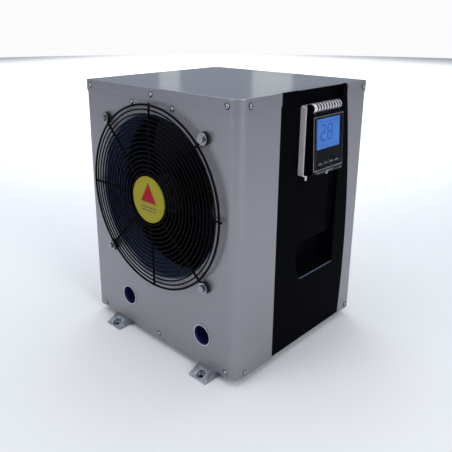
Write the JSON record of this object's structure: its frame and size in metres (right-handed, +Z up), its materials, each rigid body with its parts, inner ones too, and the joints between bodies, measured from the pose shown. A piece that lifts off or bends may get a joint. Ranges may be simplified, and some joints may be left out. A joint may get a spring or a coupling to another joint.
{
  "type": "heat pump unit",
  "caption": "Pool and spa heat pump: silver cabinet on foot rails, wire-guarded front fan, two water ports, black side panel with a flip-cover controller.",
  "frame": {"origin": "on the floor, at the middle of the four foot bolt holes", "axes": "+Z up; +X to the right along the front, towards the controller's side; +Y to the back, so the fan faces -Y"},
  "size_m": [0.4741, 0.464, 0.56],
  "materials": {
    "galvanised": "spangled zinc, dull",
    "silver_paint": "metallic silver powder coat, satin",
    "top_paint": "metallic silver paint, glossy",
    "black_gloss": "moulded, glossy",
    "bright_screw": "bright zinc plate",
    "black_wire": "dip-coated black, satin",
    "yellow_label": "printed disc under clear film",
    "fan_plastic": "glass-filled black plastic",
    "shroud_metal": "painted sheet, satin",
    "motor_paint": "black enamel",
    "fin_aluminium": "blue-tinted coated fins",
    "copper": "drawn copper, lightly tarnished",
    "valve_brass": "machined brass",
    "rubber": "moulded rubber, matte",
    "titanium": "drawn titanium tube",
    "grey_plastic": "moulded, matte",
    "blue_plastic": "moulded, glossy",
    "seal_plastic": "moulded pale rubber",
    "board_green": "lacquered circuit board",
    "capacitor_can": "drawn can",
    "cream_plastic": "moulded, matte",
    "black_plastic": "moulded, fine texture",
    "silver_plastic": "silver lacquered plastic",
    "lcd": "lit liquid crystal display under glass",
    "clear_plastic": "clear polycarbonate"
  },
  "bodies": {
    "cabinet": {"foot_rail_left": "galvanised", "foot_rail_right": "galvanised", "base_pan": "galvanised", "front_panel": "silver_paint", "left_panel": "silver_paint", "rear_panel": "silver_paint", "corner_strip": "silver_paint", "side_panel": "black_gloss", "top_cover": "top_paint", "cabinet_screws": "bright_screw", "fan_shroud": "shroud_metal", "fan_guard": "black_wire", "guard_bolts": "bright_screw", "guard_washers": "bright_screw", "guard_spacers": "rubber", "guard_badge": "yellow_label", "fan_motor": "motor_paint", "motor_bracket": "galvanised", "coil_fins": "fin_aluminium", "coil_tubes": "copper", "coil_end_plates": "galvanised", "partition_plate": "galvanised", "compressor": "motor_paint", "compressor_grommets": "rubber", "compressor_bolts": "bright_screw", "accumulator": "motor_paint", "reversing_valve": "valve_brass", "expansion_valve": "valve_brass", "filter_drier": "copper", "discharge_pipe": "copper", "suction_pipe": "copper", "gas_pipe": "copper", "liquid_pipe": "copper", "exchanger_shell": "grey_plastic", "titanium_coil": "titanium", "exchanger_saddles": "grey_plastic", "water_inlet": "blue_plastic", "water_outlet": "blue_plastic", "port_seals": "seal_plastic", "flow_switch": "cream_plastic", "electrical_box": "galvanised", "box_cover": "galvanised", "circuit_board": "board_green", "capacitor": "capacitor_can", "terminal_block": "cream_plastic", "cable_gland": "black_plastic", "drain_spout": "black_plastic", "controller_base": "silver_plastic", "controller_housing": "black_gloss", "controller_bezel": "silver_plastic", "display": "lcd", "cover_pin": "bright_screw"},
    "fan": {"fan_rotor": "fan_plastic", "motor_shaft": "bright_screw"},
    "cover": {"cover_barrel": "silver_plastic", "clear_cover": "clear_plastic"},
    "mode_key": {"key_mode": "black_plastic"},
    "power_key": {"key_power": "black_plastic"},
    "up_key": {"key_up": "black_plastic"},
    "down_key": {"key_down": "black_plastic"}
  },
  "joints": [
    {"name": "fan_spin", "type": "hinge", "parent": "cabinet", "child": "fan", "pos_m": [-0.0095, -0.135, 0.339], "axis": [0, 1, 0], "continuous": true},
    {"name": "cover_hinge", "type": "hinge", "parent": "cabinet", "child": "cover", "pos_m": [0.221, 0.0405, 0.523], "axis": [0, -1, 0], "range_deg": [0, 110]},
    {"name": "mode_press", "type": "slide", "parent": "cabinet", "child": "mode_key", "axis": [-0.9987, 0, -0.0509], "range_m": [0, 0.0012], "stiffness_N_per_m": 400, "springref_m": -0.001},
    {"name": "power_press", "type": "slide", "parent": "cabinet", "child": "power_key", "axis": [-0.9987, 0, -0.0509], "range_m": [0, 0.0012], "stiffness_N_per_m": 400, "springref_m": -0.001},
    {"name": "up_press", "type": "slide", "parent": "cabinet", "child": "up_key", "axis": [-0.9987, 0, -0.0509], "range_m": [0, 0.0012], "stiffness_N_per_m": 400, "springref_m": -0.001},
    {"name": "down_press", "type": "slide", "parent": "cabinet", "child": "down_key", "axis": [-0.9987, 0, -0.0509], "range_m": [0, 0.0012], "stiffness_N_per_m": 400, "springref_m": -0.001}
  ]
}
